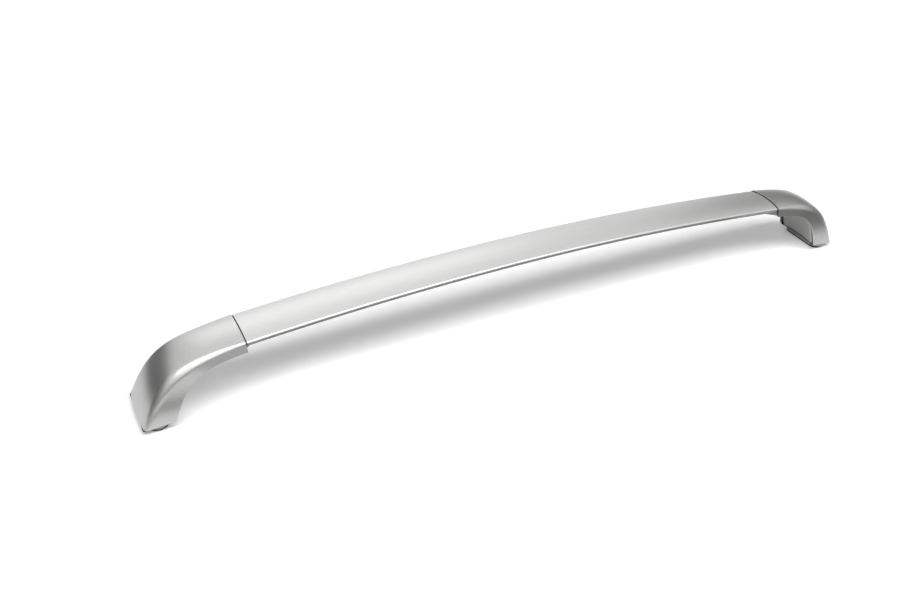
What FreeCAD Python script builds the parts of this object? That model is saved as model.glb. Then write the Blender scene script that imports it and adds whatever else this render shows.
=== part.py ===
import FreeCAD, Part
import math
import os
import re
import Sketcher

# Roof rack crossbar: a roll bent aluminium bar on two cast legs under moulded end covers.
# Millimetres. X runs along the bar, Y across it, Z up. The origin is on the ground, in the middle.
# The right end is modelled, and the left end is its mirror image.

os.makedirs("parts", exist_ok=True)
doc = FreeCAD.newDocument("Crossbar")
sheet = doc.addObject("Spreadsheet::Sheet", "Sizes")
worked = doc.addObject("App::VarSet", "Worked")

# Driving dimensions
SIZES = [
    ("SeamHalf", 440.0, "middle of the bar to the middle of the seal"),
    ("BarRise", 21.4, "rise of the bar's middle over its ends"),
    ("NoseHeight", 97.0, "ground to the bar's front edge at the seam"),
    ("BarChord", 66.0, "width of the bar, front to back"),
    ("CrownRise", 6.5, "top of the bar above its edges"),
    ("NoseRadius", 2.8, "round of the bar's front and back edges"),
    ("LipWidth", 4.0, "flat under each edge before the belly starts"),
    ("BellyDepth", 10.0, "flat of the belly below the edges"),
    ("BellyWidth", 30.0, "width of the belly's flat"),
    ("BarWall", 2.3, "wall of the extrusion"),
    ("WebSpacing", 22.0, "between the two webs in the extrusion"),
    ("WebWall", 2.0, "thickness of each web"),
    ("SealThickness", 1.8, "seal between the bar and the cover"),
    ("SealInset", 0.8, "seal's edge inside the bar's outline"),
    ("FaceDepth", 10.0, "front face of the cover at the seam"),
    ("CoverProud", 1.0, "cover proud of the bar at the seam"),
    ("SideFlare", 3.3, "how far the cover's lower edge stands out at the seam"),
    ("FootHalf", 580.5, "middle of the bar to the outer edge of the foot"),
    ("FootLength", 40.0, "outer edge of the foot to its inner edge"),
    ("FootWidth", 84.0, "width of the foot, front to back"),
    ("RimHeight", 8.0, "ground to the outer edge of the cover's rim"),
    ("RimRise", 3.0, "inner edge of the rim above the outer edge"),
    ("OuterTopReach", 86.0, "how far the top runs on before it bends down"),
    ("OuterFootReach", 82.0, "how far the outer face rises before it bends in"),
    ("OuterLean", 68.0, "slope of the outer face at the foot, in degrees"),
    ("ArchTopReach", 72.0, "how far the arch runs on before it bends down"),
    ("ArchFootReach", 52.0, "how far the inner edge rises before it bends in"),
    ("ArchLean", 70.0, "slope of the inner edge at the foot, in degrees"),
    ("FootCrown", 3.0, "bulge of the outer face at the foot"),
    ("ShoulderBend", 23.0, "pull of the round in the bend"),
    ("ShoulderFoot", 6.0, "round of the cover's corner at the foot"),
    ("CoverWall", 2.5, "wall of the cover"),
    ("LeastRound", 0.6, "least round inside the cover's shoulder"),
    ("BossSink", 0.6, "cover's screw bosses into its wall"),
    ("SideGapTop", 1.6, "cover's wall to the leg's flange at the seam"),
    ("SideGapFoot", 4.8, "cover's wall to the leg's flange at the foot"),
    ("RimChamfer", 1.2, "chamfer of the leg's long edges"),
    ("FaceProudTop", 0.5, "leg's inner face below the cover's edge at the seam"),
    ("FaceSunkFoot", 1.5, "leg's inner face inside the cover's edge at the foot"),
    ("FaceHollow", 3.0, "hollow of the leg's inner face across its width"),
    ("WebCast", 3.5, "wall of the leg behind its inner face"),
    ("FlangeCast", 3.2, "thickness of the leg's flanges"),
    ("FlangeShare", 0.56, "flange height as a part of the leg's depth"),
    ("RibCast", 3.0, "thickness of the leg's cross ribs"),
    ("RibDepth", 11.0, "height of the cross ribs at the foot"),
    ("PlateCast", 5.0, "thickness of the foot plate"),
    ("PlateGap", 1.5, "foot plate to the cover's wall"),
    ("SpigotLength", 46.0, "length of the spigot inside the bar"),
    ("SpigotGap", 0.25, "spigot to the walls of its chamber"),
    ("HeadLength", 11.0, "solid head of the leg behind the seal"),
    ("HeadGap", 0.4, "leg's head below the cover's crown"),
    ("CastRoot", 0.5, "how far a rib or boss of the casting runs into its wall"),
    ("TongueLength", 38.0, "tongue of the leg under the bar"),
    ("TongueWidth", 54.0, "width of the tongue at the seam"),
    ("TongueThick", 2.5, "tongue under the belly's flat"),
    ("FitGap", 0.2, "gap between faces that are screwed together"),
    ("BarScrewFirst", 11.0, "seal to the first bar screw"),
    ("BarScrewPitch", 17.0, "between the two bar screws"),
    ("BarScrewSize", 6.0, "diameter of the bar screws"),
    ("BarScrewLength", 14.0, "length under the head of the bar screws"),
    ("BarScrewHead", 10.8, "width of the bar screws' heads"),
    ("BarHeadHeight", 3.3, "height of the bar screws' heads"),
    ("BarSocket", 4.0, "hexagon socket of the bar screws, across its flats"),
    ("SocketShare", 0.7, "depth of a socket as a part of its head's height"),
    ("WasherDiameter", 12.0, "outside of the bar screws' washers"),
    ("WasherThick", 1.2, "thickness of the bar screws' washers"),
    ("InsertDiameter", 8.6, "outside of the threaded inserts"),
    ("InsertLength", 8.0, "length of the threaded inserts"),
    ("CoverScrewSize", 4.0, "diameter of the cover screws"),
    ("CoverScrewLength", 13.0, "length under the head of the cover screws"),
    ("CoverScrewHead", 7.2, "width of the cover screws' heads"),
    ("CoverHeadHeight", 2.4, "height of the cover screws' heads"),
    ("CoverSocket", 2.5, "hexagon socket of the cover screws, across its flats"),
    ("HeadRoom", 1.2, "cover screw's head to the side of its seat"),
    ("PilotSpare", 0.5, "pilot hole beyond the cover screw's tip"),
    ("CoverScrewSpacing", 26.0, "between the two cover screws"),
    ("CoverBossDiameter", 9.0, "the cover's screw bosses"),
    ("ClipStrip", 0.8, "thickness of the spring clips"),
    ("ClipLength", 10.0, "length of the spring clips along the leg"),
    ("ClipDrop", 7.0, "how far a clip reaches down its flange"),
    ("ClipNotch", 1.5, "notch in the flange under a clip"),
    ("ClipGap", 0.6, "clip's leaves to the flange and to the cover's wall"),
    ("BoltInset", 19.5, "outer edge of the foot to the roof bolt"),
    ("BossWidth", 27.0, "width of the oblong boss under the foot"),
    ("BossLength", 76.0, "length of the oblong boss"),
    ("BossPadThick", 2.5, "rubber pad under the boss"),
    ("BossPadInset", 0.4, "rubber pad inside the boss's outline"),
    ("BossPadHole", 11.6, "hole of the rubber pad"),
    ("TowerDiameter", 19.0, "bolt tower in the foot"),
    ("TowerTop", 23.0, "ground to the top of the bolt tower"),
    ("BushDiameter", 14.0, "outside of the bolt bush"),
    ("BushBore", 8.6, "bore of the bolt bush"),
    ("BushFlange", 19.0, "flange of the bolt bush"),
    ("BushFlangeThick", 1.8, "thickness of the bush's flange"),
    ("BushGap", 0.15, "bush to the leg's bore"),
    ("GasketThick", 1.5, "rubber sheet under the foot"),
    ("GasketInset", 0.4, "rubber sheet inside the rim's inner edge"),
    ("GasketSide", 2.0, "rubber sheet inside the rim's front and back"),
    ("GasketProud", 1.6, "rubber sheet beyond the outer corners of the rim"),
    ("GasketCorner", 2.5, "round of the rubber sheet's corners"),
]
for row, (alias, number, meaning) in enumerate(SIZES, start=1):
    sheet.set(f"A{row}", alias)
    sheet.set(f"B{row}", str(number))
    sheet.set(f"C{row}", meaning)
    sheet.setAlias(f"B{row}", alias)
doc.recompute()

STATIONS = 7
ALIASES = {alias for alias, number, meaning in SIZES}
WORKED = set()


def linked(formula, inside_worked=False):
    """Put the object that holds a value before each of its names in a formula."""
    def prefix(match):
        word = match.group(0)
        if word in ALIASES:
            return "Sizes." + word
        if word in WORKED and not inside_worked:
            return "Worked." + word
        return word
    return re.sub(r"[A-Za-z_][A-Za-z_0-9]*", prefix, formula)


def work_out(name, formula):
    """Keep a value that follows from the driving dimensions."""
    worked.addProperty("App::PropertyFloat", name, "Worked")
    worked.setExpression(name, linked(formula, inside_worked=True))
    WORKED.add(name)


def value(formula):
    """The present number of a formula."""
    found = sheet.evalExpression(linked(formula))
    return float(getattr(found, "Value", found))


def bind(target, path, formula):
    target.setExpression(path, linked(formula))


# The bar's arc, and the directions along and square to it at the seam
work_out("BarRadius", "(SeamHalf^2 + BarRise^2) / (2 * BarRise)")
work_out("ArcCentre", "NoseHeight + BarRise - BarRadius")
work_out("AlongX", "1 - BarRise / BarRadius")
work_out("AlongZ", "-SeamHalf / BarRadius")
work_out("NoseCentre", "BarChord / 2 - NoseRadius")
work_out("CrownRadius", "(NoseCentre^2 + CrownRise^2 - NoseRadius^2) / (2 * (CrownRise - NoseRadius))")
work_out("CrownEase", "CrownRadius + CoverProud - ((BarChord / 2 + CoverProud)^2 + (CrownRise + CoverProud)^2)"
         " / (2 * (CrownRise + CoverProud))")
work_out("BellySlope", "atan2(BellyDepth - NoseRadius; NoseCentre - LipWidth - BellyWidth / 2)")
work_out("BellyMitre", "tan(BellySlope / 2)")

# Inner edge and bolt of the foot, both measured from its outer edge
work_out("FootInner", "FootHalf - FootLength")
work_out("BoltPlace", "FootHalf - BoltInset")

# Ends and handles of the two side curves of the cover: the outer face, and the arch below it
work_out("OuterX0", "SeamHalf + SealThickness / 2 * AlongX")
work_out("OuterZ0", "NoseHeight + SealThickness / 2 * AlongZ")
work_out("OuterX1", "OuterX0 + OuterTopReach * AlongX")
work_out("OuterZ1", "OuterZ0 + OuterTopReach * AlongZ")
work_out("OuterX2", "FootHalf - OuterFootReach * cos(OuterLean)")
work_out("OuterZ2", "RimHeight + OuterFootReach * sin(OuterLean)")
work_out("OuterX3", "FootHalf")
work_out("OuterZ3", "RimHeight")
work_out("ArchX0", "OuterX0 + FaceDepth * AlongZ")
work_out("ArchZ0", "OuterZ0 - FaceDepth * AlongX")
work_out("ArchX1", "ArchX0 + ArchTopReach * AlongX")
work_out("ArchZ1", "ArchZ0 + ArchTopReach * AlongZ")
work_out("ArchX2", "FootInner - ArchFootReach * cos(ArchLean)")
work_out("ArchZ2", "RimHeight + RimRise + ArchFootReach * sin(ArchLean)")
work_out("ArchX3", "FootInner")
work_out("ArchZ3", "RimHeight + RimRise")


def cubic(t, name):
    """Bernstein weights of a cubic curve on its ends and handles."""
    weights = ((1 - t) ** 3, 3 * t * (1 - t) ** 2, 3 * t * t * (1 - t), t ** 3)
    return " + ".join(f"{weight:.6f} * {name}{k}" for k, weight in enumerate(weights))


def work_out_station(tag, t):
    """Place, turn and section of the cover at one station, from 0 at the seam to 1 at the foot."""
    smooth = t * t * (3 - 2 * t)
    work_out(f"PlaceX{tag}", cubic(t, "ArchX"))
    work_out(f"PlaceZ{tag}", cubic(t, "ArchZ"))
    work_out(f"TopX{tag}", cubic(t, "OuterX"))
    work_out(f"TopZ{tag}", cubic(t, "OuterZ"))
    work_out(f"Depth{tag}", f"sqrt((TopX{tag} - PlaceX{tag})^2 + (TopZ{tag} - PlaceZ{tag})^2)")
    work_out(f"Half{tag}", f"(BarChord / 2 + CoverProud) * {1 - smooth:.6f} + FootWidth / 2 * {smooth:.6f}")
    work_out(f"Bulge{tag}", f"(CrownRise + CoverProud) * {1 - smooth:.6f} + FootCrown * {smooth:.6f}")
    work_out(f"Round{tag}", f"(NoseRadius + CoverProud) * {(1 - t) ** 2:.6f} + ShoulderBend * {2 * t * (1 - t):.6f}"
             f" + ShoulderFoot * {t * t:.6f}")
    work_out(f"High{tag}", f"Depth{tag} + Bulge{tag}")
    work_out(f"Crown{tag}", f"(Half{tag}^2 + Bulge{tag}^2) / (2 * Bulge{tag}) + CrownEase * {(1 - t) ** 3:.6f}")
    work_out(f"Skirt{tag}", f"Half{tag} + SideFlare * {1 - smooth:.6f}")
    work_out(f"Side{tag}", f"High{tag} - Crown{tag} + sqrt((Crown{tag} - Round{tag})^2 - (Half{tag} - Round{tag})^2)")
    work_out(f"Lean{tag}", f"atan2(Skirt{tag} - Half{tag} + Round{tag}; Side{tag})"
             f" - asin(Round{tag} / sqrt((Skirt{tag} - Half{tag} + Round{tag})^2 + Side{tag}^2))")
    work_out(f"Sunk{tag}", f"FaceSunkFoot * {t:.6f} - FaceProudTop * {1 - t:.6f}")
    work_out(f"SideGap{tag}", f"SideGapTop * {1 - smooth:.6f} + SideGapFoot * {smooth:.6f}")
    work_out(f"LegHalf{tag}", f"Skirt{tag} - CoverWall / cos(Lean{tag}) - SideGap{tag}")
    work_out(f"WebTop{tag}", f"Sunk{tag} + FaceHollow + WebCast")
    work_out(f"FlangeTop{tag}", f"max(Sunk{tag} + Depth{tag} * FlangeShare; WebTop{tag} + CastRoot)")


STATION_TIMES = {str(k): k / (STATIONS - 1) for k in range(STATIONS)}
RIB_TIMES = {"RibA": 0.36, "RibB": 0.56, "RibC": 0.74}
CLIP_TIME = 0.66
SCREW_TIME = 0.16
for tag, t in STATION_TIMES.items():
    work_out_station(tag, t)
for tag, t in RIB_TIMES.items():
    work_out_station(tag, t)
work_out_station("Clip", CLIP_TIME)
work_out_station("Screw", SCREW_TIME)
FOOT = str(STATIONS - 1)
doc.recompute()


def new_body(name):
    body = doc.addObject("PartDesign::Body", name)
    body.Label = name
    return body


def new_sketch(body, role, name):
    """A sketch on one of the body's own origin planes."""
    sketch = body.newObject("Sketcher::SketchObject", name)
    plane = [feature for feature in body.Origin.OriginFeatures if feature.Role == role][0]
    sketch.AttachmentSupport = [(plane, "")]
    sketch.MapMode = "FlatFace"
    return sketch


def turned_sketch(body, name, place_x, place_z, turn):
    """A sketch across the bar: its own x axis is Y, its y axis leans from Z towards X by turn."""
    sketch = new_sketch(body, "YZ_Plane", name)
    sketch.AttachmentOffset = FreeCAD.Placement(
        FreeCAD.Vector(0, value(place_z), value(place_x)),
        FreeCAD.Rotation(FreeCAD.Vector(1, 0, 0), value(turn)))
    bind(sketch, "AttachmentOffset.Base.y", place_z)
    bind(sketch, "AttachmentOffset.Base.z", place_x)
    bind(sketch, "AttachmentOffset.Rotation.Angle", turn)
    return sketch


def station_turn(tag):
    return f"atan2(TopX{tag} - PlaceX{tag}; TopZ{tag} - PlaceZ{tag})"


def station_sketch(body, name, tag):
    return turned_sketch(body, name, f"PlaceX{tag}", f"PlaceZ{tag}", station_turn(tag))


def fix_point(sketch, geometry, end, u, v):
    """Tie one end of an edge to the sketch's origin by two formulas."""
    for kind, formula, axis in (("DistanceX", u, -2), ("DistanceY", v, -1)):
        number = value(formula)
        if abs(number) < 1e-9:
            sketch.addConstraint(Sketcher.Constraint("PointOnObject", geometry, end, axis))
        elif number > 0:
            index = sketch.addConstraint(Sketcher.Constraint(kind, -1, 1, geometry, end, number))
            bind(sketch, f"Constraints[{index}]", formula)
        else:
            index = sketch.addConstraint(Sketcher.Constraint(kind, geometry, end, -1, 1, -number))
            bind(sketch, f"Constraints[{index}]", f"-({formula})")


def outline(sketch, corners):
    """A closed outline, counterclockwise. A corner is (u, v), or (u, v, radius) where an arc leaves it.

    A positive radius bulges outwards, and a formula that starts with "in" bulges inwards."""
    points = [FreeCAD.Vector(value(corner[0]), value(corner[1]), 0) for corner in corners]
    count = len(corners)
    ends = []
    for k, corner in enumerate(corners):
        start, finish = points[k], points[(k + 1) % count]
        if len(corner) == 2:
            geometry = sketch.addGeometry(Part.LineSegment(start, finish), False)
            ends.append((geometry, 1, 2))
            continue
        inwards = corner[2].startswith("in ")
        formula = corner[2][3:] if inwards else corner[2]
        radius = value(formula)
        if inwards:
            start, finish = finish, start
        chord = finish - start
        middle = (start + finish) * 0.5
        rise = math.sqrt(max(radius ** 2 - (chord.Length / 2) ** 2, 0.0))
        side = FreeCAD.Vector(-chord.y, chord.x, 0) * (rise / chord.Length)
        centre = middle + side
        first = math.atan2(start.y - centre.y, start.x - centre.x)
        last = math.atan2(finish.y - centre.y, finish.x - centre.x)
        circle = Part.Circle(centre, FreeCAD.Vector(0, 0, 1), radius)
        geometry = sketch.addGeometry(Part.ArcOfCircle(circle, first, last), False)
        ends.append((geometry, 2, 1) if inwards else (geometry, 1, 2))
        index = sketch.addConstraint(Sketcher.Constraint("Radius", geometry, radius))
        bind(sketch, f"Constraints[{index}]", formula)
    for k in range(count):
        geometry, first_end, last_end = ends[k]
        following, next_end, _ = ends[(k + 1) % count]
        sketch.addConstraint(Sketcher.Constraint("Coincident", geometry, last_end, following, next_end))
        fix_point(sketch, geometry, first_end, corners[k][0], corners[k][1])


def circle(sketch, u, v, radius):
    shape = Part.Circle(FreeCAD.Vector(value(u), value(v), 0), FreeCAD.Vector(0, 0, 1), value(radius))
    geometry = sketch.addGeometry(shape, False)
    index = sketch.addConstraint(Sketcher.Constraint("Radius", geometry, value(radius)))
    bind(sketch, f"Constraints[{index}]", radius)
    fix_point(sketch, geometry, 3, u, v)


def pad(body, sketch, length, both_ways=False, downwards=False):
    feature = body.newObject("PartDesign::Pad", sketch.Name + "Pad")
    feature.Profile = sketch
    bind(feature, "Length", length)
    feature.Midplane = both_ways
    feature.Reversed = downwards
    doc.recompute()
    return feature


def pocket(body, sketch, length=None, upwards=False, both_ways=False):
    """Cut a sketch away, through everything where no length is given, and check that it cut."""
    before = body.Shape.Volume
    feature = body.newObject("PartDesign::Pocket", sketch.Name + "Cut")
    feature.Profile = sketch
    if length is None:
        feature.Type = "ThroughAll"
    else:
        bind(feature, "Length", length)
    feature.Midplane = both_ways
    feature.Reversed = upwards
    doc.recompute()
    if not body.Shape.Volume < before:
        raise RuntimeError(f"{feature.Name} cuts nothing")
    return feature


def loft(body, kind, name, sketches):
    feature = body.newObject(f"PartDesign::{kind}", name)
    feature.Profile = sketches[0]
    feature.Sections = sketches[1:]
    feature.Ruled = False
    doc.recompute()
    return feature


# The bar's section, drawn from the centre of its arc: crown, round edges, lips and belly

def bar_outline(sketch, grown):
    """The bar's outside, moved out by a formula, or in where that is negative."""
    out = f"({grown})"
    crown = f"(CrownRadius + {out})"
    edge = f"(NoseRadius + {out})"
    reach = f"(NoseCentre * {crown} / (CrownRadius - NoseRadius))"
    lift = f"(BarRadius + (CrownRadius - CrownRise) * {edge} / (CrownRadius - NoseRadius))"
    under = f"(BarRadius - {edge})"
    lip = f"(NoseCentre - LipWidth + {out} * BellyMitre)"
    belly = f"(BellyWidth / 2 + {out} * BellyMitre)"
    bottom = f"(BarRadius - BellyDepth - {out})"
    outline(sketch, [
        (f"-{belly}", bottom), (belly, bottom), (lip, under), ("NoseCentre", under, edge),
        (reach, lift, crown), (f"-{reach}", lift, edge), ("-NoseCentre", under), (f"-{lip}", under)])


def chamber_top(u):
    """Height of the inner crown over a place across the bar."""
    return f"(BarRadius + CrownRise - CrownRadius + sqrt((CrownRadius - BarWall)^2 - ({u})^2))"


def chamber_outline(sketch, gap):
    """The middle chamber of the bar, between its webs, made smaller by a gap all round."""
    side = f"(WebSpacing / 2 - WebWall / 2 - {gap})"
    top = f"({chamber_top(side)} - {gap})"
    floor = f"(BarRadius - BellyDepth + BarWall + {gap})"
    outline(sketch, [(f"-{side}", floor), (side, floor), (side, top, f"CrownRadius - BarWall - {gap}"),
                     (f"-{side}", top)])


def side_chamber_outline(sketch, sign):
    """The chamber between a web and the edge, on one side."""
    inner = "(WebSpacing / 2 + WebWall / 2)"
    tip = "(NoseCentre - LipWidth - BarWall)"
    corner = "(BellyWidth / 2 - BarWall * BellyMitre)"
    floor = "(BarRadius - BellyDepth + BarWall)"
    arc = "CrownRadius - BarWall"
    if sign > 0:
        outline(sketch, [(inner, floor), (corner, floor), (tip, chamber_top(tip), arc),
                         (inner, chamber_top(inner))])
    else:
        outline(sketch, [(f"-{corner}", floor), (f"-{inner}", floor), (f"-{inner}", chamber_top(inner), arc),
                         (f"-{tip}", chamber_top(tip))])


SEAM_TURN = "asin(SeamHalf / BarRadius)"


def arc_sketch(body, name, turn="0"):
    """A sketch across the bar with its origin at the centre of the bar's arc, turned along the bar."""
    return turned_sketch(body, name, "0", "ArcCentre", turn)


def screw_turn(k):
    """Where a bar screw stands on the bar's arc."""
    return f"asin((SeamHalf - BarScrewFirst - {k} * BarScrewPitch) / BarRadius)"


def across_screw(body, name, k, level, sign=1):
    """A sketch square to a bar screw, at a level over the centre of the bar's arc."""
    sketch = new_sketch(body, "XY_Plane", name)
    turn = screw_turn(k)
    place_x = f"(({level}) * sin({turn}) * {sign})"
    place_z = f"(ArcCentre + ({level}) * cos({turn}))"
    sketch.AttachmentOffset = FreeCAD.Placement(
        FreeCAD.Vector(value(place_x), 0, value(place_z)),
        FreeCAD.Rotation(FreeCAD.Vector(0, 1, 0), value(turn) * sign))
    bind(sketch, "AttachmentOffset.Base.x", place_x)
    bind(sketch, "AttachmentOffset.Base.z", place_z)
    bind(sketch, "AttachmentOffset.Rotation.Angle", f"{turn} * {sign}")
    return sketch


BAR_FLOOR = "(BarRadius - BellyDepth)"

# How far a cut starts outside the piece that it cuts, and ends beyond it
OVER = 1

# Bar: one aluminium extrusion with three chambers, bent to an arc, with screw holes under its ends

bar = new_body("crossbar_extrusion")
section = arc_sketch(bar, "BarSection")
bar_outline(section, "0")
chamber_outline(section, "0")
side_chamber_outline(section, 1)
side_chamber_outline(section, -1)
bent = bar.newObject("PartDesign::Revolution", "BentBar")
bent.Profile = section
bent.ReferenceAxis = (section, ["H_Axis"])
bent.Midplane = True
bind(bent, "Angle", "2 * asin((SeamHalf - SealThickness / 2) / BarRadius)")
doc.recompute()
for sign, end in ((1, "Right"), (-1, "Left")):
    for k in (0, 1):
        hole = across_screw(bar, f"BarHole{end}{k}", k, f"{BAR_FLOOR} - {OVER}", sign)
        circle(hole, "0", "0", "BarScrewSize / 2 + FitGap")
        pocket(bar, hole, f"BarWall + {2 * OVER}", upwards=True)

# End cover: a moulded shell, lofted along two side curves, with two screw bosses inside


def shell_outline(sketch, tag, inset, below, flat_shoulders=False):
    """A section of the cover: leaning sides, shoulders that are round or in two flats, and a crown."""
    high = f"(High{tag} - {inset})"
    crown = f"(Crown{tag} - {inset})"
    shoulder = f"max(Round{tag} - {inset}; LeastRound)"
    centre = f"(Half{tag} - {inset} - {shoulder})"
    root = f"sqrt(({crown} - {shoulder})^2 - {centre}^2)"
    level = f"({high} - {crown} + {root})"
    half = f"({centre} + {shoulder} * cos(Lean{tag}))"
    side = f"({level} + {shoulder} * sin(Lean{tag}))"
    skirt = f"({half} + ({side} - {below}) * tan(Lean{tag}))"
    reach = f"({centre} * {crown} / ({crown} - {shoulder}))"
    lift = f"({high} - {crown} + {root} * {crown} / ({crown} - {shoulder}))"
    if not flat_shoulders:
        outline(sketch, [(f"-{skirt}", below), (skirt, below), (half, side, shoulder), (reach, lift, crown),
                         (f"-{reach}", lift, shoulder), (f"-{half}", side)])
        return
    middle = f"(atan2({root}; {centre}) / 2 + Lean{tag} * 0.5 deg)"
    bend = f"({centre} + {shoulder} * cos({middle}))"
    bend_level = f"({level} + {shoulder} * sin({middle}))"
    outline(sketch, [(f"-{skirt}", below), (skirt, below), (half, side), (bend, bend_level), (reach, lift, crown),
                     (f"-{reach}", lift), (f"-{bend}", bend_level), (f"-{half}", side)])


cover = new_body("right_end_cover")
outside = []
hollow = []
for tag in STATION_TIMES:
    outside.append(station_sketch(cover, f"CoverOutside{tag}", tag))
    shell_outline(outside[-1], tag, "0", "0")
loft(cover, "AdditiveLoft", "CoverForm", outside)
for tag in STATION_TIMES:
    hollow.append(station_sketch(cover, f"CoverHollow{tag}", tag))
    shell_outline(hollow[-1], tag, "CoverWall", f"(-{3 * OVER})", flat_shoulders=True)
loft(cover, "SubtractiveLoft", "CoverHollow", hollow)


def across_station(body, name, tag, level):
    """A sketch square to a station's height, at a level over the arch edge: its y axis is Y."""
    sketch = new_sketch(body, "XY_Plane", name)
    turn = station_turn(tag)
    place_x = f"(PlaceX{tag} + ({level}) * sin({turn}))"
    place_z = f"(PlaceZ{tag} + ({level}) * cos({turn}))"
    sketch.AttachmentOffset = FreeCAD.Placement(
        FreeCAD.Vector(value(place_x), 0, value(place_z)),
        FreeCAD.Rotation(FreeCAD.Vector(0, 1, 0), value(turn)))
    bind(sketch, "AttachmentOffset.Base.x", place_x)
    bind(sketch, "AttachmentOffset.Base.z", place_z)
    bind(sketch, "AttachmentOffset.Rotation.Angle", turn)
    return sketch


def level_sketch(body, name, height):
    """A sketch parallel to the ground at a height."""
    sketch = new_sketch(body, "XY_Plane", name)
    sketch.AttachmentOffset = FreeCAD.Placement(FreeCAD.Vector(0, 0, value(height)), FreeCAD.Rotation())
    bind(sketch, "AttachmentOffset.Base.z", height)
    return sketch


SIDES = ((1, "Front"), (-1, "Back"))
BOSS_REACH = "(CoverScrewSpacing / 2 + CoverBossDiameter / 2)"
BOSS_ROOT = f"(HighScrew - CrownScrew + sqrt((CrownScrew - CoverWall)^2 - {BOSS_REACH}^2) + BossSink)"
for sign, side in SIDES:
    boss = across_station(cover, f"CoverBoss{side}", "Screw", "WebTopScrew + FitGap")
    circle(boss, "0", f"CoverScrewSpacing / 2 * {sign}", "CoverBossDiameter / 2")
    pad(cover, boss, f"{BOSS_ROOT} - WebTopScrew - FitGap")
for sign, side in SIDES:
    pilot = across_station(cover, f"CoverPilot{side}", "Screw", "WebTopScrew")
    circle(pilot, "0", f"CoverScrewSpacing / 2 * {sign}", "CoverScrewSize / 2 + FitGap / 4")
    pocket(cover, pilot, "CoverScrewLength - WebCast + PilotSpare", upwards=True)

# Leg: a casting with a channel whose smooth face closes the arch, ribs behind it, a foot plate with an
# oblong boss and a bolt tower, a head behind the seal, a tongue under the bar and a spigot inside it

leg = new_body("right_leg_casting")


def leg_side(tag, level):
    """Half width of the leg at a level over the arch edge: its flanges lean with the cover's sides."""
    return f"(LegHalf{tag} - ({level}) * tan(Lean{tag}))"


def channel_outline(sketch, tag):
    """Section of the leg: a hollow inner face with chamfered edges, and two flanges."""
    sunk = f"Sunk{tag}"
    edge = f"(Sunk{tag} + RimChamfer)"
    top = f"FlangeTop{tag}"
    half = leg_side(tag, edge)
    half_top = leg_side(tag, top)
    inside = f"({leg_side(tag, f'WebTop{tag}')} - FlangeCast)"
    inside_top = f"({half_top} - FlangeCast)"
    face = f"({half} - RimChamfer)"
    hollow_radius = f"({face}^2 + FaceHollow^2) / (2 * FaceHollow)"
    outline(sketch, [
        (f"-{face}", sunk, f"in {hollow_radius}"), (face, sunk), (half, edge),
        (half_top, top), (inside_top, top), (inside, f"WebTop{tag}"), (f"-{inside}", f"WebTop{tag}"),
        (f"-{inside_top}", top), (f"-{half_top}", top), (f"-{half}", edge)])


CLIP_HALF = leg_side("Clip", "FlangeTopClip - ClipNotch - ClipDrop / 2")
channel = []
for tag in STATION_TIMES:
    channel.append(station_sketch(leg, f"LegSection{tag}", tag))
    channel_outline(channel[-1], tag)
loft(leg, "AdditiveLoft", "LegChannel", channel)

head = station_sketch(leg, "LegHead", "0")
head_half = "(WebSpacing / 2 + FlangeCast * 2)"
head_top = f"(High0 - Crown0 + sqrt((Crown0 - CoverWall)^2 - {head_half}^2) - HeadGap)"
head_foot = "(WebTop0 - CastRoot)"
outline(head, [(f"-{head_half}", head_foot), (head_half, head_foot), (head_half, head_top),
               (f"-{head_half}", head_top)])
pad(leg, head, "HeadLength")

tongue = across_screw(leg, "Tongue", 0.5, f"{BAR_FLOOR} - TongueThick")
tongue_root = "(BarScrewFirst + BarScrewPitch / 2 + SealThickness / 2 + FlangeCast)"
tongue_tip = "(BarScrewFirst + BarScrewPitch / 2 - TongueLength)"
tongue_half = "TongueWidth / 2"
tongue_bend = f"({tongue_tip} + {tongue_half})"
outline(tongue, [
    (tongue_bend, f"-{tongue_half}"), (tongue_root, f"-{tongue_half}"), (tongue_root, tongue_half),
    (tongue_bend, tongue_half, tongue_half), (tongue_tip, "0", tongue_half)])
pad(leg, tongue, "TongueThick + BellyDepth - NoseRadius")

seal_turn = "asin((SeamHalf + SealThickness / 2) / BarRadius)"
room = arc_sketch(leg, "BarRoom", seal_turn)
bar_outline(room, "FitGap")
before = leg.Shape.Volume
seat = leg.newObject("PartDesign::Groove", "BarSeat")
seat.Profile = room
seat.ReferenceAxis = (room, ["H_Axis"])
seat.Reversed = True
bind(seat, "Angle", f"{seal_turn} - asin((SeamHalf - TongueLength - BellyDepth) / BarRadius)")
doc.recompute()
if not leg.Shape.Volume < before:
    raise RuntimeError("the tongue has no seat for the bar")

spigot_turn = "asin((SeamHalf + SealThickness) / BarRadius)"
spigot_section = arc_sketch(leg, "SpigotSection", spigot_turn)
chamber_outline(spigot_section, "SpigotGap")
spigot = leg.newObject("PartDesign::Revolution", "Spigot")
spigot.Profile = spigot_section
spigot.ReferenceAxis = (spigot_section, ["H_Axis"])
spigot.Reversed = True
bind(spigot, "Angle", f"{spigot_turn} - asin((SeamHalf - SpigotLength) / BarRadius)")
doc.recompute()

plate = station_sketch(leg, "FootPlate", FOOT)
plate_half = f"(Half{FOOT} - CoverWall - PlateGap)"
plate_end = f"(Depth{FOOT} - CoverWall - PlateGap - PlateCast / tan(OuterLean))"
plate_start = f"(WebTop{FOOT} - CastRoot)"
outline(plate, [(f"-{plate_half}", plate_start), (plate_half, plate_start), (plate_half, plate_end),
                (f"-{plate_half}", plate_end)])
pad(leg, plate, "PlateCast", downwards=True)


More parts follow.
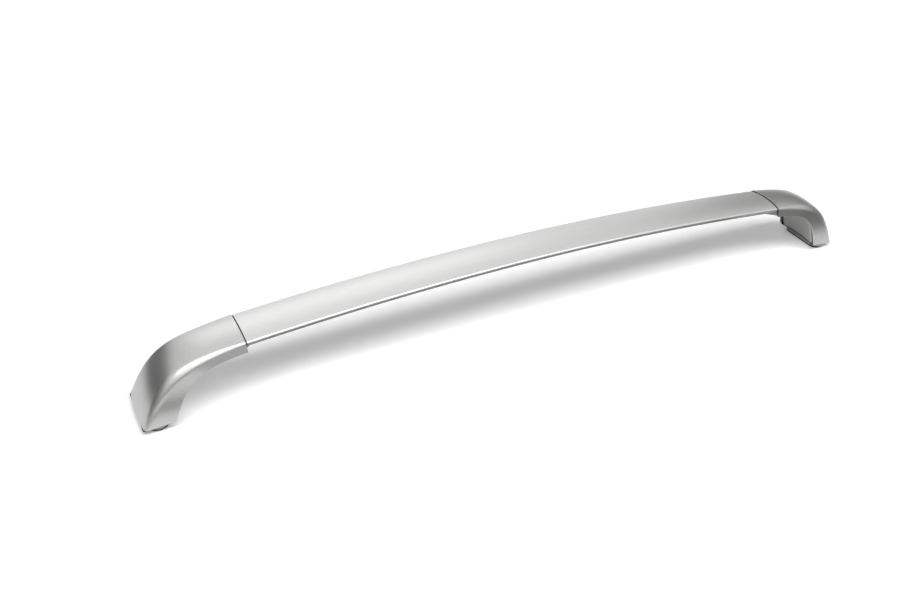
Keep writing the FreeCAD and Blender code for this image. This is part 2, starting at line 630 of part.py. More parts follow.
def oblong(sketch, inset):
    """The boss's outline: straight sides and half round ends, made smaller by an inset."""
    half = f"(BossWidth / 2 - {inset})"
    straight = "(BossLength / 2 - BossWidth / 2)"
    end = f"({straight} + {half})"
    left = f"(BoltPlace - {half})"
    right = f"(BoltPlace + {half})"
    outline(sketch, [(left, f"-{straight}", half), ("BoltPlace", f"-{end}", half), (right, f"-{straight}"),
                     (right, straight, half), ("BoltPlace", end, half), (left, straight)])


boss = level_sketch(leg, "Boss", "BossPadThick")
oblong(boss, "0")
pad(leg, boss, "RimHeight + RimRise + CastRoot - BossPadThick")
tower = level_sketch(leg, "BoltTower", "BossPadThick")
circle(tower, "BoltPlace", "0", "TowerDiameter / 2")
pad(leg, tower, "TowerTop - BossPadThick")
for tag in RIB_TIMES:
    rib = station_sketch(leg, f"Leg{tag}", tag)
    rib_half = f"(LegHalf{tag} - FlangeCast + CastRoot)"
    rib_foot = f"(WebTop{tag} - CastRoot)"
    rib_top = f"min(WebTop{tag} + RibDepth; FlangeTop{tag} - CastRoot)"
    outline(rib, [(f"-{rib_half}", rib_foot), (rib_half, rib_foot), (rib_half, rib_top),
                  (f"-{rib_half}", rib_top)])
    pad(leg, rib, "RibCast", both_ways=True)
bore = level_sketch(leg, "BoltBore", f"BossPadThick - {OVER}")
circle(bore, "BoltPlace", "0", "BushDiameter / 2 + BushGap")
pocket(leg, bore, f"TowerTop - BossPadThick + {2 * OVER}", upwards=True)
for k in (0, 1):
    hole = across_screw(leg, f"TongueHole{k}", k, f"{BAR_FLOOR} - TongueThick - {OVER}")
    circle(hole, "0", "0", "BarScrewSize / 2 + FitGap")
    pocket(leg, hole, f"TongueThick + {2 * OVER}", upwards=True)
    nest = across_screw(leg, f"InsertNest{k}", k, f"{BAR_FLOOR} + BarWall - SpigotGap")
    circle(nest, "0", "0", "InsertDiameter / 2 + FitGap / 4")
    pocket(leg, nest, "InsertLength + SpigotGap * 2 + FitGap", upwards=True)
for sign, side in SIDES:
    seat_hole = across_station(leg, f"ScrewSeat{side}", "Screw", f"SunkScrew - {OVER}")
    circle(seat_hole, "0", f"CoverScrewSpacing / 2 * {sign}", "CoverScrewHead / 2 + HeadRoom")
    pocket(leg, seat_hole, f"FaceHollow + {OVER}", upwards=True)
    web_hole = across_station(leg, f"ScrewHole{side}", "Screw", f"SunkScrew - {OVER}")
    circle(web_hole, "0", f"CoverScrewSpacing / 2 * {sign}", "CoverScrewSize / 2 + FitGap")
    pocket(leg, web_hole, f"FaceHollow + WebCast + {2 * OVER}", upwards=True)

    boss_seat = across_station(leg, f"BossSeat{side}", "Screw", "WebTopScrew")
    circle(boss_seat, "0", f"CoverScrewSpacing / 2 * {sign}", "CoverBossDiameter / 2 + FitGap * 2")
    pocket(leg, boss_seat, "WebCast", upwards=True)
    notch = station_sketch(leg, f"ClipNotch{side}", "Clip")
    notch_near = f"({CLIP_HALF} - FlangeCast - {OVER})"
    notch_far = f"({CLIP_HALF} + {OVER})"
    notch_foot = "(FlangeTopClip - ClipNotch)"
    notch_top = f"(FlangeTopClip + {2 * OVER})"
    notch_corners = [(notch_near, notch_foot), (notch_far, notch_foot), (notch_far, notch_top),
                     (notch_near, notch_top)]
    if sign < 0:
        notch_corners = [(f"-{u}", v) for u, v in reversed(notch_corners)]
    outline(notch, notch_corners)
    pocket(leg, notch, "ClipLength + ClipGap * 2", both_ways=True)

# Seam seal: a rubber plate the shape of the bar's end, with a window for the spigot

seal = new_body("right_seam_seal")
seal_section = arc_sketch(seal, "SealSection", SEAM_TURN)
bar_outline(seal_section, "-SealInset")
chamber_outline(seal_section, "-SpigotGap")
pad(seal, seal_section, "SealThickness", both_ways=True)

# Base gasket: a rubber sheet under the rim and the foot plate, slotted for the boss. Its outer corners
# are square, so they show past the rim's round ones.

gasket = new_body("right_base_gasket")
sheet_plan = station_sketch(gasket, "GasketPlan", FOOT)
wide = f"(Half{FOOT} - GasketSide)"
deep = f"(Depth{FOOT} + GasketProud)"
near_round = f"({wide} - GasketCorner)"
outline(sheet_plan, [
    (f"-{near_round}", "GasketInset"), (near_round, "GasketInset", "GasketCorner"),
    (wide, "GasketInset + GasketCorner"), (wide, f"{deep} - GasketCorner", "GasketCorner"),
    (near_round, deep), (f"-{near_round}", deep, "GasketCorner"),
    (f"-{wide}", f"{deep} - GasketCorner"), (f"-{wide}", "GasketInset + GasketCorner", "GasketCorner")])
pad(gasket, sheet_plan, "GasketThick")
slot = level_sketch(gasket, "GasketSlot", "0")
oblong(slot, "-FitGap")
pocket(gasket, slot, f"RimHeight + RimRise + {OVER}", upwards=True)

# Boss pad: rubber under the oblong boss, with a hole for the roof bolt

boss_pad = new_body("right_boss_pad")
pad_plan = level_sketch(boss_pad, "BossPadPlan", "0")
oblong(pad_plan, "BossPadInset")
circle(pad_plan, "BoltPlace", "0", "BossPadHole / 2")
pad(boss_pad, pad_plan, "BossPadThick")

# Spring clips: folded strips over the leg's flanges, whose outer leaves press on the cover's walls


def clip_outline(sketch, sign):
    near = f"({CLIP_HALF} - FlangeCast - ClipGap)"
    far = f"({CLIP_HALF} + ClipGap)"
    crest = f"({CLIP_HALF} + SideGapClip - ClipGap)"
    top = "(FlangeTopClip - ClipNotch + FitGap / 2)"
    foot = f"({top} - ClipDrop)"
    bend = f"({top} - ClipDrop / 2)"
    corners = [
        (f"({near} - ClipStrip)", foot), (near, foot), (near, top), (far, top),
        (f"({crest} - ClipStrip)", bend), (far, foot), (f"({far} + ClipStrip)", foot), (crest, bend),
        (f"({far} + ClipStrip)", f"{top} + ClipStrip"), (f"({near} - ClipStrip)", f"{top} + ClipStrip")]
    if sign < 0:
        corners = [(f"-{u}", v) for u, v in reversed(corners)]
    outline(sketch, corners)


clips = []
for sign, side in SIDES:
    clip = new_body(f"CoverClip{side}")
    clip_section = station_sketch(clip, f"ClipSection{side}", "Clip")
    clip_outline(clip_section, sign)
    pad(clip, clip_section, "ClipLength", both_ways=True)
    clips.append(clip)

# Round fastenings, each standing on an axis square to the bar or to the cover


def stand(feature, place_x, place_y, place_z, turn, level):
    """Put a turned piece on its axis, at a level along it."""
    base = (f"({place_x}) + ({level}) * sin({turn})", place_y, f"({place_z}) + ({level}) * cos({turn})")
    feature.Placement = FreeCAD.Placement(
        FreeCAD.Vector(*(value(formula) for formula in base)),
        FreeCAD.Rotation(FreeCAD.Vector(0, 1, 0), value(turn)))
    for axis, formula in zip("xyz", base):
        bind(feature, f"Placement.Base.{axis}", formula)
    bind(feature, "Placement.Rotation.Angle", turn)


def cylinder(name, radius, height, axis, level):
    feature = doc.addObject("Part::Cylinder", name)
    bind(feature, "Radius", radius)
    bind(feature, "Height", height)
    stand(feature, *axis, level)
    return feature


def joined(kind, name, base, tool):
    feature = doc.addObject(f"Part::{kind}", name)
    feature.Base = base
    feature.Tool = tool
    return feature


def socket_screw(name, sort, axis, seat_level):
    """A screw of one sort, with a round head under its seat and a hexagon socket in the head."""
    height = f"{sort}HeadHeight"
    shank = cylinder(name + "Shank", f"{sort}ScrewSize / 2", f"{sort}ScrewLength", axis, seat_level)
    head = cylinder(name + "Head", f"{sort}ScrewHead / 2", height, axis, f"{seat_level} - {height}")
    blank = joined("Fuse", name + "Blank", shank, head)
    socket = doc.addObject("Part::Prism", name + "Socket")
    socket.Polygon = 6
    bind(socket, "Circumradius", f"{sort}Socket / sqrt(3)")
    bind(socket, "Height", f"{height} * SocketShare + {OVER}")
    stand(socket, *axis, f"{seat_level} - {height} - {OVER}")
    return joined("Cut", name, blank, socket)


def ring(name, outside, inside, height, axis, level):
    body = cylinder(name + "Body", f"{outside} / 2", height, axis, level)
    hole = cylinder(name + "Hole", f"{inside} / 2", f"{height} + {2 * OVER}", axis, f"{level} - {OVER}")
    return joined("Cut", name, body, hole)


def group(name, members):
    feature = doc.addObject("Part::Compound", name)
    feature.Label = name
    feature.Links = members
    return feature


bar_axes = [("0", "0", "ArcCentre", screw_turn(k)) for k in (0, 1)]
cover_axes = [("PlaceXScrew", f"CoverScrewSpacing / 2 * {sign}", "PlaceZScrew", station_turn("Screw"))
              for sign, side in SIDES]
washer_level = f"({BAR_FLOOR} - TongueThick - FitGap / 10 - WasherThick)"
insert_level = f"({BAR_FLOOR} + BarWall + SpigotGap)"
right_groups = [
    group("right_bar_screws", [
        socket_screw(f"BarScrew{k}", "Bar", axis, washer_level)
        for k, axis in enumerate(bar_axes)]),
    group("right_bar_washers", [
        ring(f"BarWasher{k}", "WasherDiameter", "(BarScrewSize + FitGap * 2)", "WasherThick", axis, washer_level)
        for k, axis in enumerate(bar_axes)]),
    group("right_spigot_inserts", [
        ring(f"SpigotInsert{k}", "InsertDiameter", "(BarScrewSize + FitGap)", "InsertLength", axis, insert_level)
        for k, axis in enumerate(bar_axes)]),
    group("right_cover_screws", [
        socket_screw(f"CoverScrew{k}", "Cover", axis, "(SunkScrew + FaceHollow)")
        for k, axis in enumerate(cover_axes)]),
    group("right_cover_clips", clips),
]

# Bolt bush: a flanged steel sleeve through the boss and the tower

bolt_axis = ("BoltPlace", "0", "0", "0")
sleeve = cylinder("BushSleeve", "BushDiameter / 2", "TowerTop - BossPadThick", bolt_axis, "BossPadThick")
flange = cylinder("BushFlangeDisc", "BushFlange / 2", "BushFlangeThick", bolt_axis, "TowerTop")
bush_blank = joined("Fuse", "BushBlank", sleeve, flange)
bush_bore = cylinder("BushBoreHole", "BushBore / 2", f"TowerTop + BushFlangeThick + {OVER}", bolt_axis, "0")
bush = joined("Cut", "right_bolt_bush", bush_blank, bush_bore)
bush.Label = "right_bolt_bush"

# The left end is the right end's mirror image

right_pieces = [cover, leg, seal, gasket, boss_pad, bush] + right_groups
pieces = [bar]
for piece in right_pieces:
    mirror = doc.addObject("Part::Mirroring", piece.Label.replace("right_", "left_"))
    mirror.Label = mirror.Name
    mirror.Source = piece
    mirror.Base = (0, 0, 0)
    mirror.Normal = (1, 0, 0)
    pieces += [piece, mirror]

doc.recompute()
for feature in doc.Objects:
    if "Invalid" in feature.State or "Error" in feature.State:
        raise RuntimeError(f"{feature.Name} is {feature.State}")
for piece in pieces:
    if piece.Shape.isNull() or not piece.Shape.isValid():
        raise RuntimeError(f"{piece.Label} has no valid shape")
for piece in pieces:
    box = piece.Shape.optimalBoundingBox(False)
    print(f"{piece.Label:24s} solids {len(piece.Shape.Solids)} volume {piece.Shape.Volume:9.0f}",
          f"x {box.XMin:8.2f} {box.XMax:8.2f} y {box.YMin:7.2f} {box.YMax:7.2f} z {box.ZMin:7.2f} {box.ZMax:7.2f}")
    piece.Shape.exportStep(f"parts/{piece.Label}.step")
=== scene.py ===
import math

import bmesh
import bpy
import numpy as np
from mathutils import Matrix, Vector


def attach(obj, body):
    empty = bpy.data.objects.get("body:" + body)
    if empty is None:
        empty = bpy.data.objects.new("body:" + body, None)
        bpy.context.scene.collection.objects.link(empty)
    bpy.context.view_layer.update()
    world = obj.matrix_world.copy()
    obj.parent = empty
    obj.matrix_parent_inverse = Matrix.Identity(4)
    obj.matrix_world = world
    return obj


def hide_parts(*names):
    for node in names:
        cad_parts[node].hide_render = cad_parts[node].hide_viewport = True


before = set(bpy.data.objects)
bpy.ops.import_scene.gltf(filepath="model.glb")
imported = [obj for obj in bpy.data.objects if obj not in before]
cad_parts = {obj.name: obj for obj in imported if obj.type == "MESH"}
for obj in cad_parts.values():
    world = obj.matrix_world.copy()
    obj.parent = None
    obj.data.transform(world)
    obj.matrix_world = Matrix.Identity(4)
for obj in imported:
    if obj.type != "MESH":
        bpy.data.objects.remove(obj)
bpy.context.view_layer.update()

# The bar: an aluminium extrusion with three chambers, roll bent to a shallow arc. Its round edges end in
# thin lips that hang below them. It is satin anodised, so the crown is an even pale grey, and fine drawn
# lines run along it.

MM = 0.001
SEAM_HALF = 440.0
BAR_RISE = 21.4
NOSE_HEIGHT = 97.0
BAR_CHORD = 66.0
CROWN_RISE = 6.5
NOSE_RADIUS = 2.8
LEDGE_WIDTH = 4.0
LIP_TURN = math.radians(50)
LIP_DROP = 0.8
LIP_THICK = 1.6
BELLY_DEPTH = 10.0
BELLY_WIDTH = 30.0
BAR_WALL = 2.3
WEB_SPACING = 22.0
WEB_WALL = 2.0
SEAL_THICKNESS = 1.8
BAR_RADIUS = (SEAM_HALF ** 2 + BAR_RISE ** 2) / (2 * BAR_RISE)
ARC_CENTRE = NOSE_HEIGHT + BAR_RISE - BAR_RADIUS
NOSE_CENTRE = BAR_CHORD / 2 - NOSE_RADIUS
CROWN_RADIUS = (NOSE_CENTRE ** 2 + CROWN_RISE ** 2 - NOSE_RADIUS ** 2) / (2 * (CROWN_RISE - NOSE_RADIUS))

BAR_STATIONS = 121
BELLY_POINTS = 13
FLANK_POINTS = 9
EDGE_POINTS = 14
CROWN_POINTS = 61
CHAMBER_SIDE_POINTS = 5
CHAMBER_CROWN_POINTS = 15


def linear(hex_colour):
    """The linear colour of an sRGB hex value, with alpha 1."""
    channels = np.array([int(hex_colour[k:k + 2], 16) / 255 for k in (1, 3, 5)])
    low = channels / 12.92
    high = ((channels + 0.055) / 1.055) ** 2.4
    return (*np.where(channels <= 0.04045, low, high), 1.0)


def add_node(tree, kind, links=(), **settings):
    """A node with its settings and input links. A setting named like an input sets that input."""
    node = tree.nodes.new(kind)
    for name, value in settings.items():
        if hasattr(node, name):
            setattr(node, name, value)
        else:
            node.inputs[name.replace("_", " ")].default_value = value
    for source, target in links:
        tree.links.new(source, node.inputs[target])
    return node


def new_material(name):
    """A material, its node tree and its Principled shader."""
    material = bpy.data.materials.new(name)
    material.use_nodes = True
    tree = material.node_tree
    return material, tree, tree.nodes["Principled BSDF"]


def per_metre(size):
    """The scale of a pattern whose cells are this many millimetres wide."""
    return 1 / (size * MM)


def dress(piece, material):
    """Give a piece one material."""
    piece.data.materials.clear()
    piece.data.materials.append(material)
    piece.data.polygons.foreach_set("material_index", np.zeros(len(piece.data.polygons), dtype=np.int32))


def arc_points(centre, radius, first, last, count):
    """Points on a circle: the centre plus the radius times cosine and sine of evenly spaced angles."""
    angle = np.linspace(first, last, count)
    return np.stack([centre[0] + radius * np.cos(angle), centre[1] + radius * np.sin(angle)], axis=1)


def straight(start, finish, count):
    """Points on a line: the start plus an even share of the way to the finish."""
    share = np.linspace(0, 1, count)[:, None]
    return np.array(start) * (1 - share) + np.array(finish) * share


def joined_outline(*runs):
    """One closed outline from runs of points, where each run drops its last point."""
    return np.concatenate([run[:-1] for run in runs])


def bar_profile():
    """The bar's outside, from the belly round: belly, flank, lip, round edge and crown, and back down.

    The round edge and the crown are arcs that meet where the line through both centres cuts them."""
    tilt = math.atan2(CROWN_RADIUS - CROWN_RISE, NOSE_CENTRE)
    crown_centre = (0, CROWN_RISE - CROWN_RADIUS)
    belly_right = (BELLY_WIDTH / 2, -BELLY_DEPTH)
    belly_left = (-BELLY_WIDTH / 2, -BELLY_DEPTH)
    ledge_right = (NOSE_CENTRE - LEDGE_WIDTH, -NOSE_RADIUS)
    ledge_left = (-ledge_right[0], -NOSE_RADIUS)
    lip_face = NOSE_CENTRE + NOSE_RADIUS * math.cos(LIP_TURN)
    lip_back = lip_face - LIP_THICK
    lip_foot = -NOSE_RADIUS - LIP_DROP
    lip_corners = np.array([ledge_right, (lip_back, -NOSE_RADIUS), (lip_back, lip_foot), (lip_face, lip_foot),
                            (lip_face, -NOSE_RADIUS * math.sin(LIP_TURN))])
    return joined_outline(
        straight(belly_left, belly_right, BELLY_POINTS), straight(belly_right, ledge_right, FLANK_POINTS),
        lip_corners, arc_points((NOSE_CENTRE, 0), NOSE_RADIUS, -LIP_TURN, tilt, EDGE_POINTS),
        arc_points(crown_centre, CROWN_RADIUS, tilt, math.pi - tilt, CROWN_POINTS),
        arc_points((-NOSE_CENTRE, 0), NOSE_RADIUS, math.pi - tilt, math.pi + LIP_TURN, EDGE_POINTS),
        lip_corners[::-1] * np.array([-1, 1]), straight(ledge_left, belly_left, FLANK_POINTS))


def chamber_profile(left, right, low_left, low_right):
    """One chamber: a flat floor, straight sides and the inner crown, which is the crown less the wall."""
    radius = CROWN_RADIUS - BAR_WALL
    centre = (0, CROWN_RISE - CROWN_RADIUS)
    floor = BAR_WALL - BELLY_DEPTH
    first = math.acos(right / radius)
    last = math.acos(left / radius)
    top_right = (right, centre[1] + radius * math.sin(first))
    top_left = (left, centre[1] + radius * math.sin(last))
    return joined_outline(
        straight((low_left, floor), (low_right, floor), CHAMBER_SIDE_POINTS),
        straight((low_right, floor), top_right, CHAMBER_SIDE_POINTS),
        arc_points(centre, radius, first, last, CHAMBER_CROWN_POINTS),
        straight(top_left, (low_left, floor), CHAMBER_SIDE_POINTS))


def along_bar(profile, angles):
    """A profile carried round the bar's arc: (R + z) sin a along, y across, centre + (R + z) cos a up."""
    reach = BAR_RADIUS + profile[None, :, 1]
    x = reach * np.sin(angles)[:, None]
    y = np.broadcast_to(profile[None, :, 0], x.shape)
    z = ARC_CENTRE + reach * np.cos(angles)[:, None]
    return np.stack([x, y, z], axis=2)


def tube_faces(rows, columns, first=0):
    """Quads of a grid whose columns close on themselves."""
    row, column = np.meshgrid(np.arange(rows - 1), np.arange(columns), indexing="ij")
    following = (column + 1) % columns
    corners = [row * columns + column, row * columns + following,
               (row + 1) * columns + following, (row + 1) * columns + column]
    return np.stack(corners, axis=2).reshape(-1, 4) + first


def new_piece(name, points, faces):
    """A mesh object from points in millimetres and rows of face corners."""
    mesh = bpy.data.meshes.new(name)
    mesh.from_pydata((np.asarray(points).reshape(-1, 3) * MM).tolist(), [], np.asarray(faces).tolist())
    mesh.update()
    piece = bpy.data.objects.new(name, mesh)
    bpy.context.collection.objects.link(piece)
    return piece


def smooth(piece, degrees):
    """Smooth shading with sharp edges where faces turn by more than an angle."""
    piece.data.shade_smooth()
    piece.data.set_sharp_from_angle(angle=math.radians(degrees))


def close_ends(piece, ends):
    """Fill the flat ring between the outside's rim and the holes' rims at each end."""
    work = bmesh.new()
    work.from_mesh(piece.data)
    work.verts.ensure_lookup_table()
    for rims in ends:
        edges = []
        for rim in rims:
            loop = [work.verts[k] for k in rim]
            edges += [work.edges.get(pair) for pair in zip(loop, loop[1:] + loop[:1])]
        bmesh.ops.triangle_fill(work, edges=edges, use_beauty=True)
    bmesh.ops.recalc_face_normals(work, faces=work.faces)
    work.to_mesh(piece.data)
    work.free()


def pierced_piece(name, grids):
    """The first grid as the outside and the others as holes, closed at both ends by one pierced face."""
    faces = []
    first_rims = []
    last_rims = []
    count = 0
    for grid in grids:
        rows, columns = grid.shape[:2]
        quads = tube_faces(rows, columns, count)
        faces.append(quads if count else quads[:, ::-1])
        first_rims.append(range(count, count + columns))
        count += rows * columns
        last_rims.append(range(count - columns, count))
    piece = new_piece(name, np.concatenate([grid.reshape(-1, 3) for grid in grids]), np.concatenate(faces))
    close_ends(piece, (first_rims, last_rims))
    return piece


def anodised_aluminium():
    """Extruded aluminium, satin anodised: pale metal, fine lines along the drawing direction, slight grit.

    The lines are 170 mm long. They and the grit are drawn coarser than the real ones, 1.1 mm and 0.56 mm
    apart, so that they show."""
    material, tree, shader = new_material("satin_anodised_aluminium")
    place = add_node(tree, "ShaderNodeTexCoord")
    on_piece = [(place.outputs["Object"], "Vector")]
    line_scale = (per_metre(170), per_metre(1.1), per_metre(1.1))
    stretch = add_node(tree, "ShaderNodeMapping", on_piece, Scale=line_scale)
    lines = add_node(tree, "ShaderNodeTexNoise", [(stretch.outputs["Vector"], "Vector")],
                     Scale=1.0, Detail=3.0)
    grit = add_node(tree, "ShaderNodeTexNoise", on_piece, Scale=per_metre(0.56), Detail=2.0)
    both = add_node(tree, "ShaderNodeMix", [(lines.outputs["Fac"], "A"), (grit.outputs["Fac"], "B")],
                    Factor=0.55)
    tone = add_node(tree, "ShaderNodeValToRGB", [(both.outputs["Result"], "Fac")])
    tone.color_ramp.elements[0].position = 0.3
    tone.color_ramp.elements[0].color = linear("#BCBCBB")
    tone.color_ramp.elements[1].position = 0.7
    tone.color_ramp.elements[1].color = linear("#CBCBCA")
    rough = add_node(tree, "ShaderNodeMapRange", [(both.outputs["Result"], "Value")],
                     To_Min=0.36, To_Max=0.46)
    bump = add_node(tree, "ShaderNodeBump", [(both.outputs["Result"], "Height")],
                    Strength=0.12, Distance=0.04 * MM)
    tree.links.new(tone.outputs["Color"], shader.inputs["Base Color"])
    tree.links.new(rough.outputs["Result"], shader.inputs["Roughness"])
    tree.links.new(bump.outputs["Normal"], shader.inputs["Normal"])
    shader.inputs["Metallic"].default_value = 0.85
    return material


# The chambers' corners lie one wall inside the belly and the ledge, and half a web from each web's middle.
side_tip = NOSE_CENTRE - LEDGE_WIDTH - BAR_WALL
belly_slope = math.atan2(BELLY_DEPTH - NOSE_RADIUS, NOSE_CENTRE - LEDGE_WIDTH - BELLY_WIDTH / 2)
side_corner = BELLY_WIDTH / 2 - BAR_WALL * math.tan(belly_slope / 2)
web_near = WEB_SPACING / 2 - WEB_WALL / 2
web_far = WEB_SPACING / 2 + WEB_WALL / 2
bar_end = math.asin((SEAM_HALF - SEAL_THICKNESS / 2) / BAR_RADIUS)
profiles = [bar_profile(),
            chamber_profile(-web_near, web_near, -web_near, web_near),
            chamber_profile(web_far, side_tip, web_far, side_corner),
            chamber_profile(-side_tip, -web_far, -side_corner, -web_far)]
angles = np.linspace(-bar_end, bar_end, BAR_STATIONS)
bar = pierced_piece("crossbar_profile", [along_bar(profile, angles) for profile in profiles])
smooth(bar, 40)
dress(bar, anodised_aluminium())
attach(bar, "root")
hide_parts("crossbar_extrusion")

# The end covers: moulded shells that carry the bar's crown over the bend and down to the foot. They are
# painted a satin silver outside. Inside, past the overspray along the edges, they are black plastic, whose
# black also stands as painted shade in the gaps round the leg. Their end at the seam is black as painted
# shade of the shadowed step there.

FACE_DEPTH = 10.0
COVER_PROUD = 1.0
SIDE_FLARE = 3.3
FOOT_HALF = 580.5
FOOT_INNER = 540.5
FOOT_WIDTH = 84.0
RIM_HEIGHT = 8.0
RIM_RISE = 3.0
OUTER_TOP_REACH = 86.0
OUTER_FOOT_REACH = 82.0
OUTER_LEAN = math.radians(68)
ARCH_TOP_REACH = 72.0
ARCH_FOOT_REACH = 52.0
ARCH_LEAN = math.radians(70)
FOOT_CROWN = 3.0
SHOULDER_BEND = 23.0
SHOULDER_FOOT = 6.0
LEAST_SHOULDER = 0.6
COVER_WALL = 2.5
COVER_EDGE_ROUND = 0.55

COVER_STATIONS = 97
SIDE_POINTS = 14
SHOULDER_POINTS = 16
HALF_CROWN_POINTS = 40
OVERSPRAY_FACES = 4


def cubic(t, *handles):
    """A cubic curve: its two ends and two handles weighted by the Bernstein terms of t."""
    t = np.asarray(t)[:, None]
    weights = ((1 - t) ** 3, 3 * t * (1 - t) ** 2, 3 * t * t * (1 - t), t ** 3)
    return sum(weight * np.array(handle) for weight, handle in zip(weights, handles))


# The right cover's side view in x and z: it leaves the seam along the bar and comes down on the foot.
along = np.array([1 - BAR_RISE / BAR_RADIUS, -SEAM_HALF / BAR_RADIUS])
square = np.array([-along[1], along[0]])
outer_start = np.array([SEAM_HALF, NOSE_HEIGHT]) + SEAL_THICKNESS / 2 * along
arch_start = outer_start - FACE_DEPTH * square
outer_foot = np.array([FOOT_HALF, RIM_HEIGHT])
arch_foot = np.array([FOOT_INNER, RIM_HEIGHT + RIM_RISE])
outer_rise = OUTER_FOOT_REACH * np.array([-math.cos(OUTER_LEAN), math.sin(OUTER_LEAN)])
arch_rise = ARCH_FOOT_REACH * np.array([-math.cos(ARCH_LEAN), math.sin(ARCH_LEAN)])
seam_half = BAR_CHORD / 2 + COVER_PROUD
seam_bulge = CROWN_RISE + COVER_PROUD
crown_ease = CROWN_RADIUS + COVER_PROUD - (seam_half ** 2 + seam_bulge ** 2) / (2 * seam_bulge)


def shoulder_rise(half, crown, shoulder):
    """Height of the shoulder circle's centre over the crown's, by Pythagoras: the two are crown - shoulder
    apart, because the circles touch, and half - shoulder apart across."""
    return np.sqrt((crown - shoulder) ** 2 - (half - shoulder) ** 2)


def stations(t):
    """Arch edge, unit direction to the outer face, and the cover's section sizes at each t.

    The sizes ease from the seam's to the foot's by 3 t^2 - 2 t^3. The shoulder's radius is a parabola in t.
    The lean is that of the tangent from the lower edge to the shoulder circle: the angle to the circle's
    centre less the arc sine of the radius over the distance."""
    arch = cubic(t, arch_start, arch_start + ARCH_TOP_REACH * along, arch_foot + arch_rise, arch_foot)
    top = cubic(t, outer_start, outer_start + OUTER_TOP_REACH * along, outer_foot + outer_rise, outer_foot)
    depth = np.linalg.norm(top - arch, axis=1)
    eased = t * t * (3 - 2 * t)
    half = seam_half * (1 - eased) + FOOT_WIDTH / 2 * eased
    bulge = seam_bulge * (1 - eased) + FOOT_CROWN * eased
    seam_shoulder = NOSE_RADIUS + COVER_PROUD
    shoulder = seam_shoulder * (1 - t) ** 2 + SHOULDER_BEND * 2 * t * (1 - t) + SHOULDER_FOOT * t * t
    crown = (half ** 2 + bulge ** 2) / (2 * bulge) + crown_ease * (1 - t) ** 3
    level = depth + bulge - crown + shoulder_rise(half, crown, shoulder)
    reach = SIDE_FLARE * (1 - eased) + shoulder
    lean = np.arctan2(reach, level) - np.arcsin(shoulder / np.hypot(reach, level))
    return arch, (top - arch) / depth[:, None], half, depth + bulge, crown, shoulder, lean


def shell_section(half, high, crown, shoulder, lean):
    """Half of a section for every t: up the leaning side, round the shoulder circle, along the crown."""
    centre = half - shoulder
    rise = shoulder_rise(half, crown, shoulder)
    level = high - crown + rise
    u_side_top = centre + shoulder * np.cos(lean)
    v_side_top = level + shoulder * np.sin(lean)
    side = np.linspace(0, 1, SIDE_POINTS)[None, :-1]
    u_side = u_side_top[:, None] + (v_side_top * np.tan(lean))[:, None] * (1 - side)
    v_side = v_side_top[:, None] * side
    tip = np.arctan2(rise, centre)
    angle = lean[:, None] + (tip - lean)[:, None] * np.linspace(0, 1, SHOULDER_POINTS)[None, :-1]
    u_round = centre[:, None] + shoulder[:, None] * np.cos(angle)
    v_round = level[:, None] + shoulder[:, None] * np.sin(angle)
    swing = tip[:, None] + (np.pi / 2 - tip)[:, None] * np.linspace(0, 1, HALF_CROWN_POINTS)[None, :]
    u_crown = crown[:, None] * np.cos(swing)
    v_crown = (high - crown)[:, None] + crown[:, None] * np.sin(swing)
    return np.concatenate([u_side, u_round, u_crown], 1), np.concatenate([v_side, v_round, v_crown], 1)


def shell_grid(t, inset):
    """The cover's surface at an inset. Each section's u lies across, with its mirror image on the other
    side, and its v runs from the arch edge along the direction to the outer face."""
    arch, lift, half, high, crown, shoulder, lean = stations(t)
    inner_shoulder = np.maximum(shoulder - inset, LEAST_SHOULDER)
    u, v = shell_section(half - inset, high - inset, crown - inset, inner_shoulder, lean)
    u = np.concatenate([u, -u[:, -2::-1]], axis=1)
    v = np.concatenate([v, v[:, -2::-1]], axis=1)
    x = arch[:, :1] + lift[:, :1] * v
    z = arch[:, 1:] + lift[:, 1:] * v
    return np.stack([x, u, z], axis=2)


def end_cover(name, mirrored, paint, black_shade):
    """A closed ring section, outside then inside, carried along the bend, with both ends closed.

    The end at the seam is black, as painted shade of its shadowed step. So is the inside past the few faces
    that overspray reaches: there the black is partly bare plastic and partly painted shade in the gaps."""
    t = np.linspace(0, 1, COVER_STATIONS)
    outside = shell_grid(t, 0)
    inside = shell_grid(t, COVER_WALL)[:, ::-1]
    ring = np.concatenate([outside, inside], axis=1)
    rows, columns = ring.shape[:2]
    skin = columns // 2
    k = np.arange(skin - 1)
    end = np.stack([k, k + 1, columns - 2 - k, columns - 1 - k], axis=1)
    faces = np.concatenate([tube_faces(rows, columns), end[:, ::-1], end + (rows - 1) * columns])
    if mirrored:
        ring = ring * np.array([-1, 1, 1])
        faces = faces[:, ::-1]
    piece = new_piece(name, ring, faces)
    piece.data.materials.append(paint)
    piece.data.materials.append(black_shade)
    # Faces with index 1 take the black: at the seam end as painted shade, inside partly as painted shade.
    shade_faces = np.zeros((rows - 1, columns), dtype=np.int32)
    shade_faces[:, skin + OVERSPRAY_FACES:-1 - OVERSPRAY_FACES] = 1
    shade_ends = np.repeat([1, 0], skin - 1).astype(np.int32)
    piece.data.polygons.foreach_set("material_index", np.concatenate([shade_faces.ravel(), shade_ends]))
    soften = piece.modifiers.new("edge_round", "BEVEL")
    soften.width = COVER_EDGE_ROUND * MM
    soften.segments = 3
    soften.limit_method = "ANGLE"
    soften.angle_limit = math.radians(50)
    soften.harden_normals = False
    smooth(piece, 60)
    return piece


